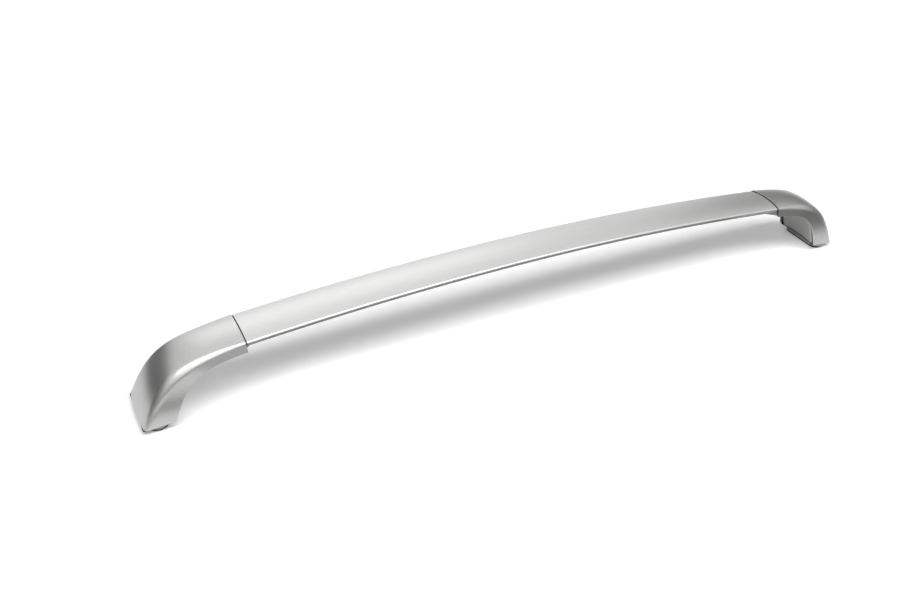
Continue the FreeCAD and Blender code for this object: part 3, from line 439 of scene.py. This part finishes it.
def silver_paint():
    """ABS moulded smooth and sprayed satin silver: metal flake, faint clouds of tone, faint orange peel.

    The flake is drawn coarser than the real one, 0.625 mm apart, so that it shows."""
    material, tree, shader = new_material("satin_silver_paint_on_abs")
    place = add_node(tree, "ShaderNodeTexCoord")
    on_piece = [(place.outputs["Object"], "Vector")]
    flake = add_node(tree, "ShaderNodeTexVoronoi", on_piece, Scale=per_metre(0.625))
    cloud = add_node(tree, "ShaderNodeTexNoise", on_piece, Scale=per_metre(45), Detail=3.0)
    peel = add_node(tree, "ShaderNodeTexNoise", on_piece, Scale=per_metre(2.4), Detail=1.0)
    grey = add_node(tree, "ShaderNodeSeparateColor", [(flake.outputs["Color"], "Color")])
    mixed = add_node(tree, "ShaderNodeMix", [(grey.outputs["Red"], "A"), (cloud.outputs["Fac"], "B")],
                     Factor=0.5)
    tone = add_node(tree, "ShaderNodeValToRGB", [(mixed.outputs["Result"], "Fac")])
    tone.color_ramp.elements[0].position = 0.2
    tone.color_ramp.elements[0].color = linear("#B1B1B0")
    tone.color_ramp.elements[1].position = 0.8
    tone.color_ramp.elements[1].color = linear("#BFBFBE")
    rough = add_node(tree, "ShaderNodeMapRange", [(grey.outputs["Green"], "Value")],
                     To_Min=0.32, To_Max=0.38)
    bump = add_node(tree, "ShaderNodeBump", [(peel.outputs["Fac"], "Height")],
                    Strength=0.2, Distance=0.03 * MM)
    tree.links.new(tone.outputs["Color"], shader.inputs["Base Color"])
    tree.links.new(rough.outputs["Result"], shader.inputs["Roughness"])
    tree.links.new(bump.outputs["Normal"], shader.inputs["Normal"])
    shader.inputs["Metallic"].default_value = 0.8
    shader.inputs["Coat Weight"].default_value = 0.25
    shader.inputs["Coat Roughness"].default_value = 0.3
    return material


def black_moulding_shade():
    """Black ABS, left without paint inside and at the seal, which also stands as painted shade of the gaps
    and of the seam's shadowed step: dull, with a 0.5 mm grain.
    """
    material, tree, shader = new_material("black_moulding_and_painted_shade")
    place = add_node(tree, "ShaderNodeTexCoord")
    on_piece = [(place.outputs["Object"], "Vector")]
    grain = add_node(tree, "ShaderNodeTexNoise", on_piece, Scale=per_metre(0.5), Detail=2.0)
    tone = add_node(tree, "ShaderNodeValToRGB", [(grain.outputs["Fac"], "Fac")])
    tone.color_ramp.elements[0].color = linear("#1C1C1C")
    tone.color_ramp.elements[1].color = linear("#2E2E2E")
    tree.links.new(tone.outputs["Color"], shader.inputs["Base Color"])
    shader.inputs["Roughness"].default_value = 0.5
    return material


silver = silver_paint()
inner_black_shade = black_moulding_shade()
for side in ("right", "left"):
    cover = end_cover(f"{side}_cover_shell", side == "left", silver, inner_black_shade)
    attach(cover, "root")
    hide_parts(f"{side}_end_cover")

# The legs: aluminium castings whose smooth hollow face closes the arch under each cover, with a tongue
# that tapers under the bar. They are powder coated the same silver, a little duller than the covers.

WELD_DISTANCE = 0.002
TONGUE_CORE = 12.0
TONGUE_TAPER = 0.4
BELLY_GAP = 0.2


def smooth_copy(node, name, degrees):
    """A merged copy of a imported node, shaded smooth."""
    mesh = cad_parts[node].data.copy()
    work = bmesh.new()
    work.from_mesh(mesh)
    bmesh.ops.remove_doubles(work, verts=work.verts, dist=WELD_DISTANCE * MM)
    work.to_mesh(mesh)
    work.free()
    mesh.name = name
    piece = bpy.data.objects.new(name, mesh)
    bpy.context.collection.objects.link(piece)
    smooth(piece, degrees)
    return piece


def taper_tongue(mesh):
    """Draw the tongue under the bar in towards its screws.

    Beyond the core, half widths shrink by the taper, and heights over the bar's arc, r - R, stay below the
    belly. The tongue's points are those outside the bar's sloping belly, whose half width is linear in the
    height."""
    points = np.empty(len(mesh.vertices) * 3)
    mesh.vertices.foreach_get("co", points)
    points = points.reshape(-1, 3) / MM
    height = np.hypot(points[:, 0], points[:, 2] - ARC_CENTRE) - BAR_RADIUS
    half = np.abs(points[:, 1])
    belly = BELLY_WIDTH / 2 + (height + BELLY_DEPTH) / math.tan(belly_slope)
    under = (height < -BELLY_DEPTH) | ((half > belly) & (height < BELLY_GAP - NOSE_RADIUS))
    tongue = under & (np.abs(points[:, 0]) < SEAM_HALF - SEAL_THICKNESS / 2)
    drawn_in = TONGUE_CORE + (half - TONGUE_CORE) * TONGUE_TAPER
    drop = np.maximum(height + BELLY_DEPTH + BELLY_GAP, 0)
    points[:, 1] = np.where(tongue & (half > TONGUE_CORE), np.sign(points[:, 1]) * drawn_in, points[:, 1])
    points[:, 2] -= np.where(tongue, drop, 0)
    mesh.vertices.foreach_set("co", (points * MM).ravel())
    mesh.update()


def cast_coat():
    """Die cast aluminium under silver powder: an even grey metal with a slight grain of about 0.7 mm."""
    material, tree, shader = new_material("silver_powder_on_cast_aluminium")
    place = add_node(tree, "ShaderNodeTexCoord")
    on_piece = [(place.outputs["Object"], "Vector")]
    grain = add_node(tree, "ShaderNodeTexNoise", on_piece, Scale=per_metre(0.7), Detail=2.0)
    tone = add_node(tree, "ShaderNodeValToRGB", [(grain.outputs["Fac"], "Fac")])
    tone.color_ramp.elements[0].position = 0.3
    tone.color_ramp.elements[0].color = linear("#9E9E9D")
    tone.color_ramp.elements[1].position = 0.7
    tone.color_ramp.elements[1].color = linear("#AEAEAD")
    bump = add_node(tree, "ShaderNodeBump", [(grain.outputs["Fac"], "Height")],
                    Strength=0.25, Distance=0.06 * MM)
    tree.links.new(tone.outputs["Color"], shader.inputs["Base Color"])
    tree.links.new(bump.outputs["Normal"], shader.inputs["Normal"])
    shader.inputs["Metallic"].default_value = 0.6
    shader.inputs["Roughness"].default_value = 0.42
    return material


coat = cast_coat()
for side in ("right", "left"):
    leg = smooth_copy(f"{side}_leg_casting", f"{side}_leg_cast", 35)
    taper_tongue(leg.data)
    dress(leg, coat)
    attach(leg, "root")
    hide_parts(f"{side}_leg_casting")

# Rubber: the seal at each seam, the sheet under each foot and the pad under each boss, all moulded from
# black rubber with a dull, slightly grainy skin. The sheet's inner edge follows the leg's hollow face.

GASKET_THICK = 1.5
GASKET_SIDE = 2.0
GASKET_PROUD = 1.6
GASKET_CORNER = 2.5
PANEL_SUNK = 1.7
PANEL_HOLLOW = 3.0
PANEL_HALF = 33.5
BOLT_PLACE = 561.0
BOSS_WIDTH = 27.0
BOSS_LENGTH = 76.0
SLOT_GAP = 0.2

HOLLOW_EDGE_POINTS = 41
OUTER_EDGE_POINTS = 9
SHEET_SIDE_POINTS = 5
CORNER_POINTS = 7
HALF_CIRCLE_POINTS = 17

sheet_along = (outer_foot - arch_foot) / np.linalg.norm(outer_foot - arch_foot)


def sheet_outline():
    """The sheet in its own plane: an inner edge hollow as a parabola, and three straight sides."""
    wide = FOOT_WIDTH / 2 - GASKET_SIDE
    near = wide - GASKET_CORNER
    deep = math.hypot(FOOT_HALF - FOOT_INNER, RIM_RISE) + GASKET_PROUD
    u = np.linspace(-near, near, HOLLOW_EDGE_POINTS)
    inner = np.stack([u, PANEL_SUNK + PANEL_HOLLOW * (1 - (u / PANEL_HALF) ** 2)], axis=1)
    low = inner[0, 1] + GASKET_CORNER
    high = deep - GASKET_CORNER
    quarter = math.pi / 2
    return joined_outline(
        inner, arc_points((near, low), GASKET_CORNER, -quarter, 0, CORNER_POINTS),
        straight((wide, low), (wide, high), SHEET_SIDE_POINTS),
        arc_points((near, high), GASKET_CORNER, 0, quarter, CORNER_POINTS),
        straight((near, deep), (-near, deep), OUTER_EDGE_POINTS),
        arc_points((-near, high), GASKET_CORNER, quarter, 2 * quarter, CORNER_POINTS),
        straight((-wide, high), (-wide, low), SHEET_SIDE_POINTS),
        arc_points((-near, low), GASKET_CORNER, 2 * quarter, 3 * quarter, CORNER_POINTS))


def slot_outline():
    """The slot for the foot's oblong boss: two half circles joined by straight sides."""
    radius = BOSS_WIDTH / 2 + SLOT_GAP
    end = (BOSS_LENGTH - BOSS_WIDTH) / 2
    v = (BOLT_PLACE - FOOT_INNER) / sheet_along[0]
    quarter = math.pi / 2
    return joined_outline(
        arc_points((end, v), radius, -quarter, quarter, HALF_CIRCLE_POINTS),
        straight((end, v + radius), (-end, v + radius), SHEET_SIDE_POINTS),
        arc_points((-end, v), radius, quarter, 3 * quarter, HALF_CIRCLE_POINTS),
        straight((-end, v - radius), (end, v - radius), SHEET_SIDE_POINTS))


def sheet_grid(outline, mirrored):
    """An outline laid in the foot's plane, and again one thickness below it, square to that plane."""
    depth = np.array([0, GASKET_THICK])[:, None]
    x = arch_foot[0] + outline[None, :, 1] * sheet_along[0] + depth * sheet_along[1]
    z = arch_foot[1] + outline[None, :, 1] * sheet_along[1] - depth * sheet_along[0]
    y = np.broadcast_to(outline[None, :, 0], x.shape)
    return np.stack([-x if mirrored else x, y, z], axis=2)


def black_rubber():
    """Moulded rubber: near black and rough, with a grain drawn as coarse as 0.42 mm, so that it shows."""
    material, tree, shader = new_material("moulded_black_rubber")
    place = add_node(tree, "ShaderNodeTexCoord")
    on_piece = [(place.outputs["Object"], "Vector")]
    grain = add_node(tree, "ShaderNodeTexNoise", on_piece, Scale=per_metre(0.42), Detail=2.0)
    tone = add_node(tree, "ShaderNodeValToRGB", [(grain.outputs["Fac"], "Fac")])
    tone.color_ramp.elements[0].color = linear("#141414")
    tone.color_ramp.elements[1].color = linear("#262626")
    bump = add_node(tree, "ShaderNodeBump", [(grain.outputs["Fac"], "Height")],
                    Strength=0.3, Distance=0.05 * MM)
    tree.links.new(tone.outputs["Color"], shader.inputs["Base Color"])
    tree.links.new(bump.outputs["Normal"], shader.inputs["Normal"])
    shader.inputs["Roughness"].default_value = 0.62
    return material


rubber = black_rubber()
outlines = (sheet_outline(), slot_outline())
for side in ("right", "left"):
    grids = [sheet_grid(outline, side == "left") for outline in outlines]
    sheet = pierced_piece(f"{side}_base_gasket_rubber", grids)
    smooth(sheet, 40)
    dress(sheet, rubber)
    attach(sheet, "root")
    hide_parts(f"{side}_base_gasket")
    for node in ("seam_seal", "boss_pad"):
        moulding = smooth_copy(f"{side}_{node}", f"{side}_{node}_rubber", 40)
        dress(moulding, rubber)
        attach(moulding, "root")
        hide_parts(f"{side}_{node}")

# Steel: zinc plated screws, washers, threaded inserts and bolt bushes, and spring clips of bare tempered
# strip. The bar screws' heads and washers show under the tongue.


def clouded_steel(name, dark, pale, roughness):
    """Plated or tempered steel: a smooth metal whose tone varies faintly in clouds of about 1.4 mm."""
    material, tree, shader = new_material(name)
    place = add_node(tree, "ShaderNodeTexCoord")
    on_piece = [(place.outputs["Object"], "Vector")]
    cloud = add_node(tree, "ShaderNodeTexNoise", on_piece, Scale=per_metre(1.4), Detail=4.0)
    tone = add_node(tree, "ShaderNodeValToRGB", [(cloud.outputs["Fac"], "Fac")])
    tone.color_ramp.elements[0].color = linear(dark)
    tone.color_ramp.elements[1].color = linear(pale)
    tree.links.new(tone.outputs["Color"], shader.inputs["Base Color"])
    shader.inputs["Metallic"].default_value = 1.0
    shader.inputs["Roughness"].default_value = roughness
    return material


zinc = clouded_steel("zinc_plated_steel", "#A9A9A4", "#CFCFCA", 0.3)
spring = clouded_steel("tempered_spring_steel", "#4C4C50", "#6E6E72", 0.35)
for side in ("right", "left"):
    for node in ("bolt_bush", "bar_screws", "bar_washers", "spigot_inserts", "cover_screws", "cover_clips"):
        part = smooth_copy(f"{side}_{node}", f"{side}_{node}_steel", 35)
        dress(part, spring if node == "cover_clips" else zinc)
        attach(part, "root")
        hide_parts(f"{side}_{node}")

# The studio: white paper, a large soft lamp over the front and two dimmer ones, black felt cards that only
# show in what the object reflects, and the camera where the photograph was taken. Paper and room look
# brighter to the camera and in reflections than the light that they give.

FOCAL_PIXELS = 956.2
IMAGE_WIDTH = 920
SENSOR = 36.0
CAMERA_PLACE = (-665.7, -979.7, 851.0)
CAMERA_TURN = math.radians(29.16)
CAMERA_DROP = math.radians(35.78)
CAMERA_ROLL = math.radians(3.53)
CAMERA_RANGE = 50.0
PAPER_WIDTH = 18000.0
NEAR_GLOW = 0.16
FAR_GLOW = 0.75
GLOW_START = 0.3
GLOW_END = 2.0
ROOM_LIGHT = 0.18
ROOM_SEEN = 1.0


def photo_camera():
    """A camera looking along its turn and drop, rolled about that line."""
    forward = Vector((math.sin(CAMERA_TURN) * math.cos(CAMERA_DROP),
                      math.cos(CAMERA_TURN) * math.cos(CAMERA_DROP), -math.sin(CAMERA_DROP)))
    level = Vector((math.cos(CAMERA_TURN), -math.sin(CAMERA_TURN), 0))
    rise = level.cross(forward)
    right = math.cos(CAMERA_ROLL) * level + math.sin(CAMERA_ROLL) * rise
    up = -math.sin(CAMERA_ROLL) * level + math.cos(CAMERA_ROLL) * rise
    data = bpy.data.cameras.new("photo_camera")
    data.lens = FOCAL_PIXELS / IMAGE_WIDTH * SENSOR
    data.sensor_width = SENSOR
    data.clip_end = CAMERA_RANGE
    camera = bpy.data.objects.new("photo_camera", data)
    bpy.context.collection.objects.link(camera)
    camera.matrix_world = Matrix((
        (right.x, up.x, -forward.x, CAMERA_PLACE[0] * MM), (right.y, up.y, -forward.y, CAMERA_PLACE[1] * MM),
        (right.z, up.z, -forward.z, CAMERA_PLACE[2] * MM), (0, 0, 0, 1)))
    bpy.context.scene.camera = camera


def face_towards(fitting, place, aim):
    """Put a lamp or a card at a place, in metres, and turn it to face its aim."""
    fitting.location = place
    fitting.rotation_euler = (Vector(aim) - Vector(place)).to_track_quat("-Z", "Y").to_euler()


def soft_lamp(name, place, aim, size, power):
    """A rectangular area lamp, its width and height in metres and its power in watts."""
    data = bpy.data.lights.new(name, "AREA")
    data.shape = "RECTANGLE"
    data.size, data.size_y = size
    data.energy = power
    lamp = bpy.data.objects.new(name, data)
    bpy.context.collection.objects.link(lamp)
    face_towards(lamp, place, aim)


def level_rectangle(name, width, height):
    """One level rectangle about the origin, facing up."""
    corners = [(-width / 2, -height / 2, 0), (width / 2, -height / 2, 0),
               (width / 2, height / 2, 0), (-width / 2, height / 2, 0)]
    return new_piece(name, corners, [(0, 1, 2, 3)])


def black_flag(name, felt, place, aim, size):
    """A felt card, its width and height in metres, that only shows in what the object reflects."""
    card = level_rectangle(name, size[0] / MM, size[1] / MM)
    face_towards(card, place, aim)
    dress(card, felt)
    card.visible_camera = False
    card.visible_diffuse = False
    card.visible_shadow = False


def seen_ray(tree):
    """One for rays of the camera, of mirrors and through glass, and zero for all others."""
    path = add_node(tree, "ShaderNodeLightPath")
    mirrored = add_node(tree, "ShaderNodeMath", operation="MAXIMUM")
    seen = add_node(tree, "ShaderNodeMath", operation="MAXIMUM")
    tree.links.new(path.outputs["Is Camera Ray"], mirrored.inputs[0])
    tree.links.new(path.outputs["Is Glossy Ray"], mirrored.inputs[1])
    tree.links.new(mirrored.outputs["Value"], seen.inputs[0])
    tree.links.new(path.outputs["Is Transmission Ray"], seen.inputs[1])
    return seen.outputs["Value"]


def black_felt():
    """Felt glued to the cards: matt black, with fibres drawn as coarse as two millimetres."""
    material, tree, shader = new_material("matt_black_felt")
    place = add_node(tree, "ShaderNodeTexCoord")
    fibre = add_node(tree, "ShaderNodeTexNoise", [(place.outputs["Object"], "Vector")], Scale=per_metre(2))
    tone = add_node(tree, "ShaderNodeValToRGB", [(fibre.outputs["Fac"], "Fac")])
    tone.color_ramp.elements[0].color = linear("#080808")
    tone.color_ramp.elements[1].color = linear("#101010")
    tree.links.new(tone.outputs["Color"], shader.inputs["Base Color"])
    shader.inputs["Roughness"].default_value = 1.0
    return material


def white_paper():
    """White paper, with fibres of about 1.1 mm. Rays of the camera and of mirrors also get a little light of
    its own, and more of it the farther the paper lies from the object, in metres, so that it stays white to
    the edge of the picture."""
    material, tree, shader = new_material("white_paper_sweep")
    place = add_node(tree, "ShaderNodeTexCoord")
    fibre = add_node(tree, "ShaderNodeTexNoise", [(place.outputs["Object"], "Vector")], Scale=per_metre(1.1))
    bump = add_node(tree, "ShaderNodeBump", [(fibre.outputs["Fac"], "Height")],
                    Strength=0.05, Distance=0.1 * MM)
    tone = add_node(tree, "ShaderNodeValToRGB", [(fibre.outputs["Fac"], "Fac")])
    tone.color_ramp.elements[0].color = linear("#F2F2F2")
    tone.color_ramp.elements[1].color = linear("#F6F6F6")
    far = add_node(tree, "ShaderNodeVectorMath", operation="LENGTH")
    tree.links.new(place.outputs["Object"], far.inputs[0])
    glow = add_node(tree, "ShaderNodeMapRange", [(far.outputs["Value"], "Value")],
                    interpolation_type="SMOOTHSTEP", From_Min=GLOW_START, From_Max=GLOW_END,
                    To_Min=NEAR_GLOW, To_Max=FAR_GLOW)
    shown = add_node(tree, "ShaderNodeMath", operation="MULTIPLY")
    tree.links.new(glow.outputs["Result"], shown.inputs[0])
    tree.links.new(seen_ray(tree), shown.inputs[1])
    tree.links.new(tone.outputs["Color"], shader.inputs["Base Color"])
    tree.links.new(bump.outputs["Normal"], shader.inputs["Normal"])
    tree.links.new(shown.outputs["Value"], shader.inputs["Emission Strength"])
    shader.inputs["Emission Color"].default_value = linear("#FFFFFF")
    shader.inputs["Roughness"].default_value = 0.9
    shader.inputs["Specular IOR Level"].default_value = 0.1
    return material


paper = level_rectangle("paper_sweep", PAPER_WIDTH, PAPER_WIDTH)
dress(paper, white_paper())
photo_camera()
soft_lamp("key_softbox", place=(-0.2, -0.93, 2.1), aim=(-0.1, 0, 0.08), size=(3.4, 0.8), power=60)
soft_lamp("front_strip", place=(-0.5, -1.5, 1.05), aim=(-0.4, 0, 0.08), size=(1.6, 0.4), power=4)
soft_lamp("back_softbox", place=(0.1, 1.75, 1.4), aim=(-0.1, 0, 0.05), size=(1.8, 1.1), power=6.2)
felt = black_felt()
black_flag("left_flag", felt, place=(-0.95, 0.15, 0.22), aim=(-0.56, 0.0, 0.64), size=(1.3, 1.0))
black_flag("front_flag", felt, place=(-0.2, -0.6, 0.1), aim=(-0.2, 0.0, 0.05), size=(2.2, 0.18))
black_flag("low_left_flag", felt, place=(-0.6, -0.095, 0.004), aim=(-0.6, -0.085, 1.0), size=(0.6, 0.035))
black_flag("low_right_flag", felt, place=(0.64, -0.16, 0.004), aim=(0.64, -0.15, 1.0), size=(0.6, 0.13))
black_flag("right_flag", felt, place=(1.9, 0.3, 0.35), aim=(0.5, 0, 0.1), size=(2.4, 0.55))
black_flag("back_right_flag", felt, place=(1.5, 0.76, 0.85), aim=(0.44, 0, 0.1), size=(0.5, 0.45))
black_flag("front_right_flag", felt, place=(0.78, -0.27, 0.08), aim=(0.55, 0, 0.45), size=(0.9, 0.36))
black_flag("low_bar_flag", felt, place=(0.0, -0.13, 0.004), aim=(0.0, -0.12, 1.0), size=(0.86, 0.2))

world = bpy.data.worlds.new("studio_world")
bpy.context.scene.world = world
world.use_nodes = True
room = world.node_tree
strength = add_node(room, "ShaderNodeMapRange", [(seen_ray(room), "Value")],
                    To_Min=ROOM_LIGHT, To_Max=ROOM_SEEN)
room.nodes["Background"].inputs["Color"].default_value = linear("#FFFFFF")
room.links.new(strength.outputs["Result"], room.nodes["Background"].inputs["Strength"])

bpy.context.scene.view_settings.view_transform = "Standard"
